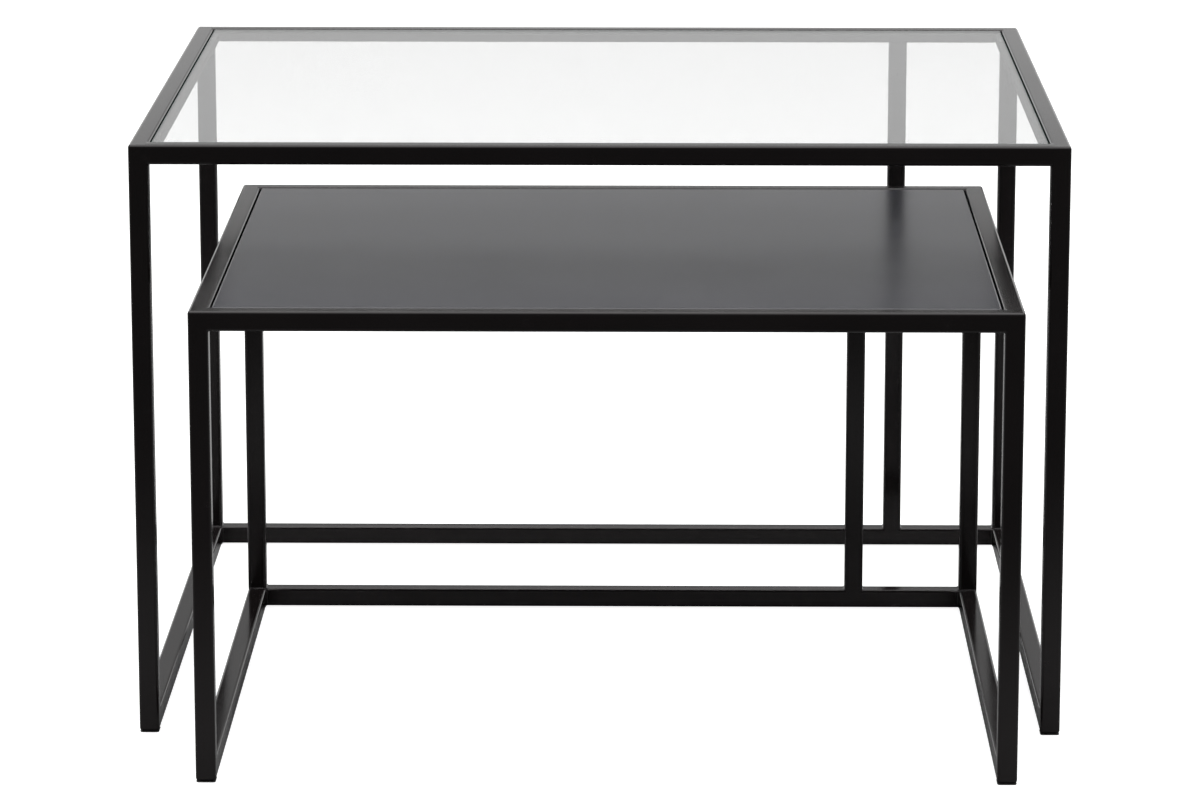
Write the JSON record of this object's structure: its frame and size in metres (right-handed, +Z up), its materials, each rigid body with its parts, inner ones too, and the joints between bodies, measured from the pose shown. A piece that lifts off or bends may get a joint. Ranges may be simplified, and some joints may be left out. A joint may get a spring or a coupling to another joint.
{
  "type": "nesting tables",
  "caption": "Low table with an inset glass top over a smaller table with an inset steel top, both on slim square-tube frames; the small one slides beneath the large one.",
  "frame": {"origin": "on the floor, at the centre of the footprint of the set as it stands at rest, with the small table drawn partly out to the front", "axes": "+Z up; -Y towards the front, the side the small table is drawn out of; +X to the right as seen from the front, the side that the rear uprights stand on"},
  "size_m": [0.75, 0.768, 0.486],
  "materials": {
    "frame_coat": "black satin powder coat on welded square steel tube",
    "panel_coat": "black satin powder coat on folded sheet steel, softly reflective",
    "clear_glass": "clear polished float glass with ground edges",
    "clear_silicone": "clear soft silicone",
    "glide_plastic": "black matt plastic"
  },
  "bodies": {
    "large_table": {"large_leg_front_left": "frame_coat", "large_top_rail_left": "frame_coat", "large_leg_rear_left": "frame_coat", "large_foot_rail_left": "frame_coat", "large_leg_front_right": "frame_coat", "large_top_rail_right": "frame_coat", "large_leg_rear_right": "frame_coat", "large_foot_rail_right": "frame_coat", "large_top_rail_front": "frame_coat", "large_top_rail_rear": "frame_coat", "large_foot_rail_rear": "frame_coat", "large_rear_upright": "frame_coat", "large_ledge_left": "frame_coat", "large_ledge_right": "frame_coat", "large_ledge_front": "frame_coat", "large_ledge_rear": "frame_coat", "large_glass_pad_front_left": "clear_silicone", "large_glass_pad_front_right": "clear_silicone", "large_glass_pad_rear_left": "clear_silicone", "large_glass_pad_rear_right": "clear_silicone", "large_glide_front_left": "glide_plastic", "large_glide_front_right": "glide_plastic", "large_glide_rear_left": "glide_plastic", "large_glide_rear_right": "glide_plastic"},
    "small_table": {"small_leg_front_left": "frame_coat", "small_top_rail_left": "frame_coat", "small_leg_rear_left": "frame_coat", "small_foot_rail_left": "frame_coat", "small_leg_front_right": "frame_coat", "small_top_rail_right": "frame_coat", "small_leg_rear_right": "frame_coat", "small_foot_rail_right": "frame_coat", "small_top_rail_front": "frame_coat", "small_top_rail_rear": "frame_coat", "small_foot_rail_rear": "frame_coat", "small_rear_upright": "frame_coat", "small_ledge_left": "frame_coat", "small_ledge_right": "frame_coat", "small_ledge_front": "frame_coat", "small_ledge_rear": "frame_coat", "small_top_panel": "panel_coat", "small_panel_stiffener_left": "panel_coat", "small_panel_stiffener_right": "panel_coat", "small_glide_front_left": "glide_plastic", "small_glide_front_right": "glide_plastic", "small_glide_rear_left": "glide_plastic", "small_glide_rear_right": "glide_plastic"},
    "glass_pane": {"large_glass_top": "clear_glass"}
  },
  "joints": [
    {"name": "small_table_slide", "type": "slide", "parent": "large_table", "child": "small_table", "axis": [0, 1, 0], "range_m": [-0.45, 0.2067]},
    {"name": "glass_lift", "type": "slide", "parent": "large_table", "child": "glass_pane", "axis": [0, 0, 1], "range_m": [0, 0.1]}
  ]
}
